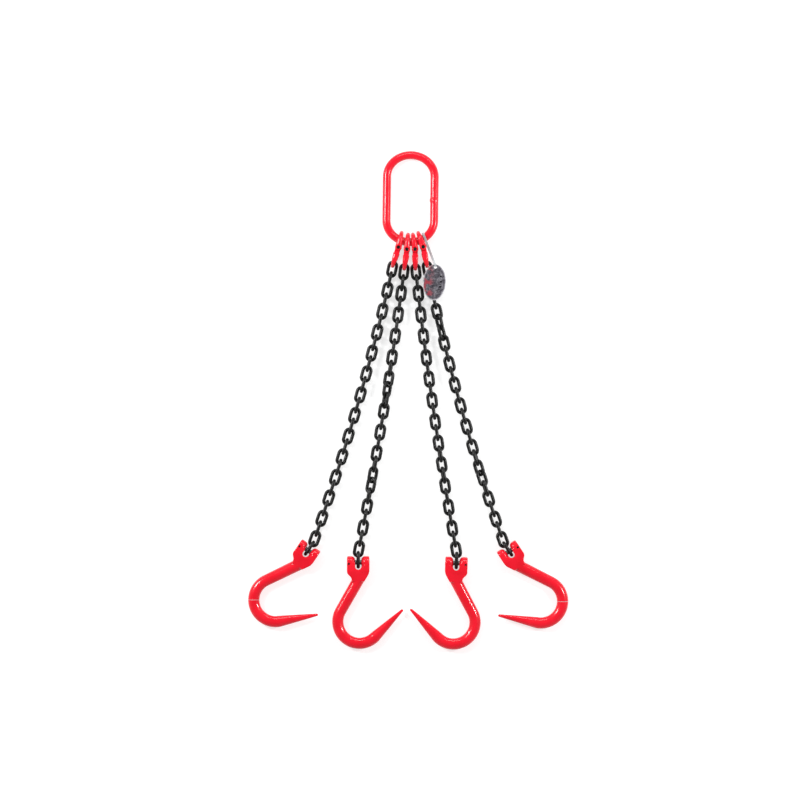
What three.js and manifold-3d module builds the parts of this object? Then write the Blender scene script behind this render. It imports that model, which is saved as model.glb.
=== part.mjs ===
// Four leg chain sling, lying flat, in millimetres: +Z up from the surface it lies on, +Y towards the
// master link. The origin is the middle of the bounding box, on the surface.
import * as THREE from "three";
import { mergeVertices } from "three/addons/utils/BufferGeometryUtils.js";
import Module from "manifold-3d";

const wasm = await Module();
wasm.setup();

// Driving dimensions
const GAP = 0.4; // running clearance between pieces that touch
const LINK = { wire: 6.8, width: 22.4, pitch: 21 };
const LINKS_PER_LEG = 28;
const RUN_STARTS = [1, 5, 9, 15, 19, 23, 28]; // first link of each run of links that lies still as one piece
const MASTER = { bar: 16, innerWidth: 76.7, innerLength: 154, bow: 42, lean: -1 };
const COUPLER = { halfWidth: 22, wire: 8.5, thick: 11.2, lug: 8.3, crown: 33, tip: 41.2, pinHole: 3.5 };
const COUPLER_BOW = 0.66; // thickness at the bows over thickness at the pin
const COUPLER_REACH = 15; // from the middle of the master link's bar to the coupler's pin
const COUPLER_BEARING = 33.3; // from the coupler's pin to where the first link bears on its bow
const HOOK = { ear: 12, earOut: 21.6, slot: 12.3, bar: 21.5, pinRadius: 4.4, throatRadius: 31.5 };
const HOOK_FLAT = 0.84; // thickness of the hook's bar over its width
const HOOK_BEARING = 5.4; // from the last link's centre to the hook's load pin
const RETAINER = { radius: 1.8, x: -18.2, y: -2.5 }; // roll pin that keeps the hook's load pin in
const TAG = { width: 44.3, length: 70.3, thick: 2.6, rim: 2.6, dish: 0.5, hole: 4.8, holeAt: 27.8 };
const TAG_PLACE = { x: 47.2, y: -78.5, z: 28, lean: 4, pitch: 3 };
const TIE = { x: -1, y: 33.9 }; // where the band goes round the tag's edge, in the tag's own frame
const BAND = { width: 4.6, thick: 1.2, seat: 28.5, nearRadius: 10.8, farRadius: 3.7 };

// Heights above the surface
const BED = 12; // chain and hooks
const LIFT = 17.5; // the top of each leg
const COUPLER_HEIGHT = COUPLER.halfWidth;
const BAR_HEIGHT = 19; // master link bar where it passes through the couplers
const SETTLE = 84; // length in which a leg comes down from its coupler to the bed

// A leg's angles are in degrees from straight down, positive to the right:
// its coupler's upper half, its lower half, the chain at its two ends, and the hook.
// seat is the coupler's place along the master link's bar, opens is 1 for a hook with its mouth to the right
// and -1 for one with its mouth to the left, and each of turns is a stretch of links, from one link to
// another, over which the chain twists by an angle.
const LEGS = [
  { seat: -19.2, upper: -13, lower: -17.6, from: -12.7, to: -20.1, hook: -34.5, opens: 1, turns: [] },
  {
    seat: -4.8,
    upper: -4.3,
    lower: -8.2,
    from: -7.5,
    to: -11.6,
    hook: 0,
    opens: 1,
    turns: [
      [9, 15, -90],
      [18, 23, 90],
    ],
  },
  {
    seat: 7.8,
    upper: 8,
    lower: 0.6,
    from: 6,
    to: 10.1,
    hook: -2.2,
    opens: -1,
    turns: [
      [16, 19, 12],
      [19, 23, -12],
    ],
  },
  {
    seat: 20.8,
    upper: 19,
    lower: 11.2,
    from: 11.3,
    to: 19.5,
    hook: 33.1,
    opens: -1,
    turns: [
      [4, 9, 90],
      [18, 23, -90],
    ],
  },
];

const red = new THREE.MeshStandardMaterial({ color: 0xd4141e, roughness: 0.28, metalness: 0.1 });
const black = new THREE.MeshStandardMaterial({ color: 0x1b1b1d, roughness: 0.4, metalness: 0.6 });
const steel = new THREE.MeshStandardMaterial({ color: 0x8e9094, roughness: 0.35, metalness: 0.9 });
const alloy = new THREE.MeshStandardMaterial({ color: 0xa3a3ab, roughness: 0.45, metalness: 0.8 });

const sin = (degrees) => Math.sin(THREE.MathUtils.degToRad(degrees));
const cos = (degrees) => Math.cos(THREE.MathUtils.degToRad(degrees));

// The way down a leg that lies at an angle from straight down
const down = (angle) => new THREE.Vector3(sin(angle), -cos(angle), 0);

// Booleans
function solidOf(geometry) {
  const bare = geometry.clone();
  bare.deleteAttribute("normal");
  bare.deleteAttribute("uv");
  const merged = mergeVertices(bare, 1e-3);
  return new wasm.Manifold(
    new wasm.Mesh({
      numProp: 3,
      vertProperties: merged.attributes.position.array,
      triVerts: new Uint32Array(merged.index.array),
    }),
  );
}

function geometryOf(solid) {
  const { vertProperties, triVerts } = solid.getMesh();
  const geometry = new THREE.BufferGeometry();
  geometry.setAttribute("position", new THREE.BufferAttribute(vertProperties, 3));
  geometry.setIndex(new THREE.BufferAttribute(triVerts, 1));
  geometry.computeVertexNormals();
  return geometry;
}

// The first geometries joined, less the later ones
function carve(joined, removed = []) {
  const body = joined.map(solidOf).reduce((sum, next) => sum.add(next));
  return geometryOf(removed.map(solidOf).reduce((rest, next) => rest.subtract(next), body));
}

function piece(name, geometry, material, parent) {
  const mesh = new THREE.Mesh(geometry, material);
  mesh.name = name;
  parent.add(mesh);
  return mesh;
}

// A round rod through a point along x, y or z
function rod(radius, length, axis, sides, x = 0, y = 0, z = 0) {
  const geometry = new THREE.CylinderGeometry(radius, radius, length, sides);
  if (axis === "x") geometry.rotateZ(Math.PI / 2);
  if (axis === "z") geometry.rotateX(Math.PI / 2);
  return geometry.translate(x, y, z);
}

// Closed centreline of a link in its own plane: two bows and two straight sides.
// It starts half a step past the top, so that a flat of the tube lies across the top of each bow.
class LinkLoop extends THREE.Curve {
  constructor(halfWidth, halfLength, bow, steps) {
    super();
    const quarter = (Math.PI / 4) * (halfWidth + bow);
    const round = 4 * (quarter + halfLength - bow);
    Object.assign(this, { halfWidth, halfLength, bow, start: round / (2 * steps) / quarter / 6 });
  }

  getPoint(t, target = new THREE.Vector3()) {
    const turn = (t + this.start) % 1;
    const side = turn < 0.5 ? 1 : -1;
    const along = (turn % 0.5) * 6; // one side: a quarter bow, a straight, a quarter bow
    const turned = along < 1 ? along * 90 : along < 2 ? 90 : (along - 1) * 90;
    const straight = this.halfLength - this.bow;
    const shift = straight * THREE.MathUtils.clamp(3 - 2 * along, -1, 1);
    return target.set(side * this.halfWidth * sin(turned), side * (shift + this.bow * cos(turned)), 0);
  }
}

function loopTube(outerWidth, innerLength, wire, bow, steps, sides) {
  const loop = new LinkLoop((outerWidth - wire) / 2, (innerLength + wire) / 2, bow, steps);
  return new THREE.TubeGeometry(loop, steps, wire / 2, sides, true);
}

// Master link
const tilt = Math.asin((BAR_HEIGHT - MASTER.bar / 2) / (MASTER.innerLength + MASTER.bar));
const masterHalf = {
  width: (MASTER.innerWidth + MASTER.bar) / 2,
  length: (MASTER.innerLength + MASTER.bar) / 2,
};

function masterLink(sling) {
  const frame = new THREE.Group();
  frame.position.z = BAR_HEIGHT;
  frame.rotation.set(-tilt, 0, THREE.MathUtils.degToRad(MASTER.lean));
  sling.add(frame);
  const outerWidth = MASTER.innerWidth + 2 * MASTER.bar;
  const ring = loopTube(outerWidth, MASTER.innerLength, MASTER.bar, MASTER.bow, 32, 10);
  piece("master_link", ring, red, frame).position.y = masterHalf.length;
}

// The middle of the master link's bar where it passes through a coupler or the tag's band
function barPoint(seat) {
  const rise = MASTER.bow * (1 - Math.sqrt(1 - (seat / masterHalf.width) ** 2));
  return new THREE.Vector3(seat, rise + seat * sin(MASTER.lean), BAR_HEIGHT);
}

// Couplers: a two-part connecting link whose halves turn on a load pin, standing on edge.
// In a half's own frame x is its thickness, y runs along the leg and z across, with the pin at the origin.
const innerHalf = COUPLER.halfWidth - COUPLER.wire;
const outerLug = COUPLER.halfWidth - COUPLER.lug;
const innerLug = { far: outerLug - 0.3, near: outerLug - 0.3 - COUPLER.lug };

// An outline across the coupler, given thickness along x with chamfered edges
function coupled(outline, thick) {
  const chamfer = 2.2;
  const geometry = new THREE.ExtrudeGeometry(outline, {
    depth: thick - 2 * chamfer,
    bevelThickness: chamfer,
    bevelSize: chamfer,
    bevelOffset: -chamfer,
    bevelSegments: 1,
    curveSegments: 4,
  });
  return geometry.translate(0, 0, chamfer - thick / 2).rotateY(Math.PI / 2);
}

// Thins a half towards its bow: full thickness at the pin, share of it at the far end
function thinned(geometry, reach, share) {
  const at = geometry.attributes.position;
  for (let i = 0; i < at.count; i++) {
    const far = THREE.MathUtils.smoothstep(Math.abs(at.getY(i)), 4, reach);
    at.setX(i, at.getX(i) * (1 - far * (1 - share)));
  }
  return geometry;
}

function upperHalf() {
  const spring = 14; // where the arms turn into the crown
  const outline = new THREE.Shape();
  outline.moveTo(COUPLER.halfWidth, 0);
  outline.absellipse(0, spring, COUPLER.halfWidth, COUPLER.crown - spring, 0, Math.PI, false);
  outline.lineTo(-COUPLER.halfWidth, 0);
  outline.lineTo(-outerLug, 0);
  outline.absellipse(0, spring, innerHalf, 11, Math.PI, 0, true);
  outline.lineTo(outerLug, 0);
  const arch = thinned(coupled(outline, COUPLER.thick), COUPLER.crown, COUPLER_BOW);
  const across = (outerLug + COUPLER.halfWidth) / 2;
  const lugs = [across, -across].map((z) => rod(COUPLER.thick / 2, COUPLER.lug, "z", 12, 0, 0, z));
  return carve([arch, ...lugs], [rod(COUPLER.pinHole, 60, "z", 12)]);
}

function lowerHalf() {
  const clear = -(COUPLER.thick / 2 + 0.8); // shoulder below the upper half's lugs
  const spring = -22;
  const outline = new THREE.Shape();
  outline.moveTo(innerLug.far, 0);
  outline.lineTo(innerLug.far, clear);
  outline.lineTo(COUPLER.halfWidth, clear);
  outline.absellipse(0, spring, COUPLER.halfWidth, COUPLER.tip + spring, 0, -Math.PI, true);
  outline.lineTo(-COUPLER.halfWidth, clear);
  outline.lineTo(-innerLug.far, clear);
  outline.lineTo(-innerLug.far, 0);
  outline.lineTo(-innerLug.near, 0);
  outline.lineTo(-innerLug.near - 1, 2 * clear + 1);
  outline.absellipse(0, spring - 5, innerHalf, 7.9, -Math.PI, 0, false);
  outline.lineTo(innerLug.near + 1, 2 * clear + 1);
  outline.lineTo(innerLug.near, 0);
  const thick = COUPLER.thick - 0.6;
  const bow = thinned(coupled(outline, thick), COUPLER.tip, COUPLER_BOW);
  const across = (innerLug.near + innerLug.far) / 2;
  const lugs = [across, -across].map((z) => rod(thick / 2, COUPLER.lug, "z", 12, 0, 0, z));
  return carve([bow, ...lugs], [rod(COUPLER.pinHole, 60, "z", 12)]);
}

function sleeve() {
  const half = innerLug.near - 0.3;
  const profile = [
    [COUPLER.pinHole, -half],
    [4.7, -half],
    [5.2, 0],
    [4.7, half],
    [COUPLER.pinHole, half],
    [COUPLER.pinHole, -half],
  ].map(([radius, height]) => new THREE.Vector2(radius, height));
  return new THREE.LatheGeometry(profile, 14).rotateX(Math.PI / 2);
}

const couplerShapes = {
  upper: upperHalf(),
  lower: lowerHalf(),
  pin: rod(COUPLER.pinHole - 0.3, 2 * COUPLER.halfWidth - 3, "z", 12),
  sleeve: sleeve(),
};

function couplerPin(leg) {
  return barPoint(leg.seat).addScaledVector(down(leg.upper), COUPLER_REACH).setZ(COUPLER_HEIGHT);
}

function coupler(sling, leg, number) {
  for (const half of ["upper", "lower"]) {
    const frame = new THREE.Group();
    frame.position.copy(couplerPin(leg));
    frame.rotation.z = THREE.MathUtils.degToRad(leg[half]);
    sling.add(frame);
    piece(`coupler_${number}_${half}_half`, couplerShapes[half], red, frame);
    if (half === "upper") {
      piece(`coupler_${number}_load_pin`, couplerShapes.pin, steel, frame);
      piece(`coupler_${number}_sleeve`, couplerShapes.sleeve, steel, frame);
    }
  }
}

// Chain. s is the length along a leg from where its first link bears on the coupler.
const legLength = LINKS_PER_LEG * LINK.pitch;

function legPoint(leg, s) {
  const start = couplerPin(leg).addScaledVector(down(leg.lower), COUPLER_BEARING);
  const now = legHeading(leg, s);
  const radius = legLength / THREE.MathUtils.degToRad(leg.to - leg.from);
  return new THREE.Vector3(
    start.x + radius * (cos(leg.from) - cos(now)),
    start.y - radius * (sin(now) - sin(leg.from)),
    BED + (LIFT - BED) * Math.max(0, 1 - s / SETTLE) ** 2,
  );
}

function legHeading(leg, s) {
  return leg.from + ((leg.to - leg.from) * s) / legLength;
}

// A link's frame: y back up the leg, x across it, turned about y by the link's roll
function linkFrame(centre, heading, slope, roll) {
  const up = new THREE.Vector3(-sin(heading), cos(heading), -slope).normalize();
  const across = new THREE.Vector3(cos(heading), sin(heading), 0);
  const frame = new THREE.Matrix4().makeBasis(across, up, across.clone().cross(up));
  const turn = new THREE.Matrix4().makeRotationY(THREE.MathUtils.degToRad(roll));
  return frame.setPosition(centre).multiply(turn);
}

function linkRoll(leg, number) {
  const twist = leg.turns.reduce(
    (sum, [first, last, angle]) => sum + angle * THREE.MathUtils.smoothstep(number, first, last),
    0,
  );
  return twist + (number % 2 ? 0 : 90);
}

function linkPlace(leg, number) {
  if (number === LINKS_PER_LEG) {
    return linkFrame(lastLink(leg), leg.hook, 0, 90);
  }
  const s = (number - 0.5) * LINK.pitch;
  const slope = (legPoint(leg, s + 1).z - legPoint(leg, s - 1).z) / 2;
  return linkFrame(legPoint(leg, s), legHeading(leg, s), slope, linkRoll(leg, number));
}

// The last link points along its hook, and hangs from the middle of its own upper wire
function lastLink(leg) {
  const wire = 3.1; // from the bearing up to that wire
  const top = legPoint(leg, (LINKS_PER_LEG - 1) * LINK.pitch - wire);
  return top.addScaledVector(down(leg.hook), LINK.pitch / 2 + wire);
}

const faceting = 1.8; // extra length that makes up for the bows' flats
const linkBow = (LINK.width - LINK.wire) / 2;
const linkShape = loopTube(LINK.width, LINK.pitch + GAP + faceting, LINK.wire, linkBow, 8, 6);
const bearingPad = new THREE.BoxGeometry(2.4, 2.4 + 2 * GAP, 2.4).translate(0, -LINK.pitch / 2, 0);

// A run of links lies still as one piece, so a small pad joins its links where they bear on each other
function chainRun(sling, leg, number, run) {
  const first = RUN_STARTS[run];
  const last = (RUN_STARTS[run + 1] ?? LINKS_PER_LEG + 1) - 1;
  const origin = linkPlace(leg, first);
  const parts = [];
  for (let link = first; link <= last; link++) {
    const place = origin.clone().invert().multiply(linkPlace(leg, link));
    parts.push(linkShape.clone().applyMatrix4(place));
    if (link < last) parts.push(bearingPad.clone().applyMatrix4(place));
  }
  const mesh = piece(`chain_${number}_run_${run + 1}`, carve(parts), black, sling);
  origin.decompose(mesh.position, mesh.quaternion, mesh.scale);
}

// Clevis sorting hook. In its own frame the load pin is at the origin along x, y runs up the leg and z is
// its thickness. The shank, bend and point are one bar along these places in the hook's plane.
const bend = { x: 2, y: -115.2, radius: HOOK.throatRadius + HOOK.bar / 2, from: 153, to: 315 };
const neck = { x: 4, y: -27, radius: 11.3 };
const tip = { x: 84.9, y: -93.8, radius: 2.3 };

function clevisOutline() {
  const slot = HOOK.slot / 2;
  const outline = new THREE.Shape();
  outline.moveTo(-HOOK.earOut, 0);
  outline.lineTo(-HOOK.earOut, -17.5);
  outline.quadraticCurveTo(-HOOK.earOut + 0.4, -22, -13.6, -31.5);
  outline.lineTo(-12, -37);
  outline.lineTo(12, -37);
  outline.lineTo(18.6, -25.3);
  outline.quadraticCurveTo(HOOK.earOut, -19, HOOK.earOut, -13);
  outline.lineTo(HOOK.earOut, 0);
  outline.lineTo(slot, 0);
  outline.absarc(0, -8.3, slot, 0, -Math.PI, true);
  outline.lineTo(-slot, 0);
  return outline;
}

// An arc in the hook's own plane, from one angle to another
class Arc extends THREE.Curve {
  constructor(x, y, radius, from, to) {
    super();
    Object.assign(this, { x, y, radius, from, to });
  }

  getPoint(t, target = new THREE.Vector3()) {
    const angle = this.from + (this.to - this.from) * t;
    return target.set(this.x + this.radius * cos(angle), this.y + this.radius * sin(angle), 0);
  }
}

// A bar of the hook tapering from one point to another in the hook's plane
function taper(from, to, fromRadius, toRadius) {
  const way = to.clone().sub(from);
  const bar = new THREE.CylinderGeometry(toRadius, fromRadius, way.length(), 12);
  bar.rotateY(Math.PI / 12).scale(1, 1, HOOK_FLAT).rotateZ(-Math.atan2(way.x, way.y));
  const middle = from.clone().add(to).multiplyScalar(0.5);
  return bar.translate(middle.x, middle.y, 0);
}

// One round ear about the load pin, chamfered on the inside to clear the link above
function clevisEar(side) {
  const profile = [
    [0, HOOK.slot / 2],
    [8, HOOK.slot / 2],
    [HOOK.ear, 10],
    [HOOK.ear, HOOK.earOut],
    [0, HOOK.earOut],
  ].map(([radius, out]) => new THREE.Vector2(radius, out));
  return new THREE.LatheGeometry(profile, 12).rotateZ((-side * Math.PI) / 2);
}

function hookBody(opens) {
  const mirrored = (x, y) => new THREE.Vector3(x * opens, y, 0);
  const outline = new THREE.Shape(clevisOutline().getPoints(3).map((at) => at.setX(at.x * opens)));
  const clevis = new THREE.ExtrudeGeometry(outline, { depth: 2 * HOOK.ear, bevelEnabled: false });
  clevis.translate(0, 0, -HOOK.ear);
  const ears = [-1, 1].map((side) => clevisEar(side));

  const half = HOOK.bar / 2;
  const angles = [bend.from, bend.to].map((angle) => (opens > 0 ? angle : 180 - angle));
  const path = new Arc(bend.x * opens, bend.y, bend.radius, ...angles);
  const section = new THREE.Shape();
  for (let side = 0; side <= 12; side++) {
    const angle = 15 + side * 30;
    section[side ? "lineTo" : "moveTo"](half * HOOK_FLAT * cos(angle), half * sin(angle));
  }
  const bowl = new THREE.ExtrudeGeometry(section, { steps: 9, extrudePath: path, bevelEnabled: false });

  // The straight bars run a little past the bend's ends, into it
  const [start, end] = [path.getPoint(0), path.getPoint(1)];
  const shankEnd = start.clone().add(mirrored(0.9, -1.6));
  const pointStart = end.clone().add(mirrored(-0.7, -0.7));
  const shank = taper(mirrored(neck.x, neck.y), shankEnd, neck.radius, half);
  const point = taper(pointStart, mirrored(tip.x, tip.y), half, tip.radius - 0.1);
  const ball = new THREE.SphereGeometry(tip.radius, 6, 5).translate(tip.x * opens, tip.y, 0);
  const pinHole = rod(HOOK.pinRadius + 0.3, 60, "x", 12);
  const retainerHole = rod(RETAINER.radius + 0.3, 60, "z", 8, RETAINER.x * opens, RETAINER.y);
  return carve([clevis, ...ears, shank, bowl, point, ball], [pinHole, retainerHole]);
}

function clevisPin(opens) {
  const notch = rod(RETAINER.radius + 0.3, 60, "z", 8, RETAINER.x * opens, RETAINER.y);
  return carve([rod(HOOK.pinRadius, 2 * HOOK.earOut - 2, "x", 12)], [notch]);
}

const hookPieces = new Map(
  [1, -1].map((opens) => [
    opens,
    {
      body: hookBody(opens),
      pin: clevisPin(opens),
      retainer: rod(RETAINER.radius, 22, "z", 8, RETAINER.x * opens, RETAINER.y),
    },
  ]),
);

function hook(sling, leg, number) {
  const frame = new THREE.Group();
  frame.position.copy(lastLink(leg)).addScaledVector(down(leg.hook), HOOK_BEARING);
  frame.rotation.z = THREE.MathUtils.degToRad(leg.hook);
  sling.add(frame);
  const shapes = hookPieces.get(leg.opens);
  piece(`hook_${number}_body`, shapes.body, red, frame);
  piece(`hook_${number}_clevis_pin`, shapes.pin, steel, frame);
  piece(`hook_${number}_retaining_pin`, shapes.retainer, steel, frame);
}

// Identification tag and the flat band that ties it to the master link
function tagPlate() {
  const oval = (inset) => {
    const shape = new THREE.Shape();
    return shape.absellipse(0, 0, TAG.width / 2 - inset, TAG.length / 2 - inset, 0, 2 * Math.PI, false);
  };
  const extruded = (shape, depth, bottom) => {
    const geometry = new THREE.ExtrudeGeometry(shape, { depth, bevelEnabled: false, curveSegments: 12 });
    return geometry.translate(0, 0, bottom);
  };
  const plate = extruded(oval(0), TAG.thick, -TAG.thick / 2);
  const dish = extruded(oval(TAG.rim), TAG.thick, TAG.thick / 2 - TAG.dish);
  return carve([plate], [dish, rod(TAG.hole, 20, "z", 14, 0, TAG.holeAt)]);
}

// A belt round two drums in the band's own upright plane, grown outwards by a margin
function belt(reach, nearRadius, farRadius, shape) {
  const lean = THREE.MathUtils.radToDeg(Math.asin((nearRadius - farRadius) / reach));
  const radians = THREE.MathUtils.degToRad;
  shape.moveTo(nearRadius * sin(lean), nearRadius * cos(lean));
  shape.absarc(0, 0, nearRadius, radians(90 - lean), radians(270 + lean), false);
  shape.absarc(reach, 0, farRadius, radians(-90 + lean), radians(90 - lean), false);
  shape.closePath();
  return shape;
}

// Turns the band's width towards its far end, to lie square to the tag there
function turnedAcross(band, reach, skew) {
  const at = band.attributes.position;
  for (let i = 0; i < at.count; i++) {
    const turn = skew * THREE.MathUtils.clamp(at.getX(i) / reach, 0, 1);
    at.setXYZ(i, at.getX(i) - at.getZ(i) * Math.sin(turn), at.getY(i), at.getZ(i) * Math.cos(turn));
  }
}

function tagAndBand(sling) {
  const bar = barPoint(BAND.seat);
  const frame = new THREE.Group();
  frame.position.set(TAG_PLACE.x, TAG_PLACE.y, TAG_PLACE.z);
  frame.rotation.order = "ZXY";
  frame.rotation.z = THREE.MathUtils.degToRad(-TAG_PLACE.lean);
  frame.rotation.x = THREE.MathUtils.degToRad(TAG_PLACE.pitch);
  sling.add(frame);
  piece("tag_plate", tagPlate(), alloy, frame);

  frame.updateMatrix();
  const tie = new THREE.Vector3(TIE.x, TIE.y, 0).applyMatrix4(frame.matrix);
  const way = tie.clone().sub(bar);
  const reach = way.length();
  const outline = belt(reach, BAND.nearRadius, BAND.farRadius, new THREE.Shape());
  const inside = [BAND.nearRadius - BAND.thick, BAND.farRadius - BAND.thick];
  outline.holes.push(belt(reach, ...inside, new THREE.Path()));
  const settings = { depth: BAND.width, bevelEnabled: false, curveSegments: 8 };
  const band = new THREE.ExtrudeGeometry(outline, settings);
  const skew = Math.atan2(way.x, -way.y) + THREE.MathUtils.degToRad(TAG_PLACE.lean);
  turnedAcross(band.translate(0, 0, -BAND.width / 2), reach, skew);
  const mesh = piece("tag_band", band, alloy, sling);
  const along = way.clone().normalize();
  const across = new THREE.Vector3(along.y, -along.x, 0).normalize();
  const basis = new THREE.Matrix4().makeBasis(along, across.clone().cross(along), across);
  mesh.position.copy(bar);
  mesh.quaternion.setFromRotationMatrix(basis);
}

const sling = new THREE.Group();
sling.name = "four_leg_chain_sling";
masterLink(sling);
LEGS.forEach((leg, index) => {
  coupler(sling, leg, index + 1);
  RUN_STARTS.forEach((first, run) => chainRun(sling, leg, index + 1, run));
  hook(sling, leg, index + 1);
});
tagAndBand(sling);

sling.updateMatrixWorld(true);
const bounds = new THREE.Box3().setFromObject(sling, true);
const middle = bounds.getCenter(new THREE.Vector3());
sling.position.set(-middle.x, -middle.y, -bounds.min.z);

export default sling;
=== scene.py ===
"""Four leg chain sling, lying flat, seen from straight above."""
import math
import operator

import bmesh
import bpy
from mathutils import Matrix, Vector


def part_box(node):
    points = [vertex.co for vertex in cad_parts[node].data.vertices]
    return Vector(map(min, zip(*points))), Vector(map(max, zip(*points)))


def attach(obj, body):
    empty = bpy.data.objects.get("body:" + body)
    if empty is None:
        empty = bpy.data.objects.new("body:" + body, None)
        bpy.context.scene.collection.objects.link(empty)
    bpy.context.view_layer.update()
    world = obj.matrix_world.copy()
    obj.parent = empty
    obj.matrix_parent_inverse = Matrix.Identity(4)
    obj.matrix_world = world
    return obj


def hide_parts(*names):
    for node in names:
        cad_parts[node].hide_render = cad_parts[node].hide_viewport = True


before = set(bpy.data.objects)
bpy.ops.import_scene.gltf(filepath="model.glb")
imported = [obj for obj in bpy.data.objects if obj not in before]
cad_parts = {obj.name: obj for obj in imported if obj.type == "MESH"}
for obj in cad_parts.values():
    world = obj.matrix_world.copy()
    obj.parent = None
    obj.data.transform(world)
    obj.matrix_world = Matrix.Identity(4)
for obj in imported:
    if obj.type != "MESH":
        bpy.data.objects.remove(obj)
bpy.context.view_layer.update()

MM = 0.001

# Driving dimensions, in millimetres, as in the CAD
LINK = {"wire": 6.8, "width": 22.4, "pitch": 21.0}
LINKS_PER_LEG = 28
RUN_STARTS = [1, 5, 9, 15, 19, 23, 28]
MASTER = {"bar": 16.0, "width": 76.7, "length": 154.0, "bow": 42.0, "lean": -1.0}
COUPLER = {
    "half_width": 22.0, "wire": 8.5, "thick": 11.2, "lug": 8.3, "hole": 3.5,
    "crown": 33.0,  # from the load pin to the top of the upper half
    "tip": 41.2,  # and to the foot of the lower half
}
HOOK = {"ear": 12.0, "ear_out": 21.6, "bar": 21.5, "pin": 4.4, "throat": 31.5, "flat": 0.84}
BOWL = Vector((2.0, -115.2, 0))  # centre of the hook's bend
RETAINER = {"radius": 1.8, "x": -18.2, "y": -2.5}
TAG = {
    "width": 44.3, "length": 70.3, "thick": 2.6,
    "x": 47.2, "y": -78.5, "z": 28.0, "lean": 4.0, "pitch": 3.0,
}
TIE = {"x": -1.0, "y": 33.9}  # centre of the band's turn through the tag, in the tag's own frame
BAND = {"width": 4.6, "thick": 1.2, "seat": 28.5, "near": 10.8, "far": 3.7}
BED = 12.0  # height of the chain's centreline where it lies flat
LIFT = 17.5  # and where it leaves its coupler
SETTLE = 84.0  # length of leg that comes down to the bed
BAR_HEIGHT = 19.0  # centre of the master link's bar where the couplers hang
COUPLER_REACH = 15.0  # from that bar's centre to a coupler's load pin
COUPLER_BEARING = 33.3  # from the load pin to the start of the chain
HOOK_BEARING = 5.4  # from the last link's centre to the clevis's load pin

# The visual model's own measures, in millimetres
BOSS = 13.2  # thickness of a coupler's upper half at the load pin
LOWER = 12.6  # thickness of a coupler's lower half below it
LOWER_WIRE = 7.4  # depth of the lower half's bar, seen from the side
CLEVIS_SLOT = 5.9  # half the width of the hook's slot
EYE = {"radius": 3.1, "y": 29.5}  # the hole in the tag, in the tag's own frame
NARROWING = 0.965  # of each leg's first link, to clear its neighbours
SKIN = 0.35  # what a forging loses all round when its edges are softened
AXIS = 0.01  # radius that closes the end of a turned shape
THROUGH = 60  # length of a cutter that goes right through a forging
SLAB_DEPTH = 2  # of the blocks that cut into the tag or mark it
SHARP = 35  # degrees between faces before their edge is shaded as a corner
UNMOVED = Matrix.Identity(4)

# The legs, left to right. Each has its coupler's place along the bar (seat), then headings in degrees from
# -Y towards +X: its coupler's halves, its chain's start and end, and its hook. Then it has the side that
# its hook opens to, and its twists as (first link, last link, degrees).
LEGS = [
    {
        "seat": -19.2, "upper": -13.0, "lower": -17.6, "start": -12.7, "end": -20.1, "hook": -34.5,
        "opens": 1, "turns": [],
    },
    {
        "seat": -4.8, "upper": -4.3, "lower": -8.2, "start": -7.5, "end": -11.6, "hook": 0.0,
        "opens": 1, "turns": [(9, 15, -90), (18, 23, 90)],
    },
    {
        "seat": 7.8, "upper": 8.0, "lower": 0.6, "start": 6.0, "end": 10.1, "hook": -2.2,
        "opens": -1, "turns": [(16, 19, 12), (19, 23, -12)],
    },
    {
        "seat": 20.8, "upper": 19.0, "lower": 11.2, "start": 11.3, "end": 19.5, "hook": 33.1,
        "opens": -1, "turns": [(4, 9, 90), (18, 23, -90)],
    },
]

# The studio's lamps, in metres and watts
LAMPS = [
    {"name": "right", "power": 42, "size": (0.35, 0.35), "at": (2.2, 0.4, 1.9), "aim": (0, 0.3, 0)},
    {"name": "left", "power": 62, "size": (0.55, 1.0), "at": (-1.95, 0.95, 1.95), "aim": (0, -0.2, 0)},
    {"name": "head", "power": 34, "size": (2.6, 0.5), "at": (0.3, 2.5, 2.1), "aim": (0, 0, 0)},
]
FLOOR = {"reach": 6000, "depth": 20, "gap": 0.1}  # in millimetres
# The camera's span is in metres; its lens, its sensor and the point under it are in millimetres
CAMERA = {"span": 1.557, "lens": 240, "sensor": 36, "roll": -0.25, "x": -20.7, "y": -307.0}


def sin(degrees):
    return math.sin(math.radians(degrees))


def cos(degrees):
    return math.cos(math.radians(degrees))


def smoothstep(value, low, high):
    t = min(1.0, max(0.0, (value - low) / (high - low)))
    return t * t * (3 - 2 * t)


# Places along the sling, in its own frame: the origin is under the bar at the master link's foot
MASTER_HALF_WIDTH = (MASTER["width"] + MASTER["bar"]) / 2
MASTER_HALF_LENGTH = (MASTER["length"] + MASTER["bar"]) / 2


def bar_point(seat):
    """The centre of the master link's bar, at a distance along its foot."""
    rise = MASTER["bow"] * (1 - math.sqrt(1 - (seat / MASTER_HALF_WIDTH) ** 2))
    return Vector((seat, rise + seat * sin(MASTER["lean"]), BAR_HEIGHT))


def down(heading):
    """The way down the sling at a heading."""
    return Vector((sin(heading), -cos(heading), 0))


def coupler_pin(leg):
    """The centre of a coupler's load pin, which stands upright."""
    pin = bar_point(leg["seat"]) + COUPLER_REACH * down(leg["upper"])
    pin.z = COUPLER["half_width"]
    return pin


def leg_heading(leg, s):
    """The leg's heading at a length s along its chain."""
    return leg["start"] + (leg["end"] - leg["start"]) * s / (LINKS_PER_LEG * LINK["pitch"])


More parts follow.
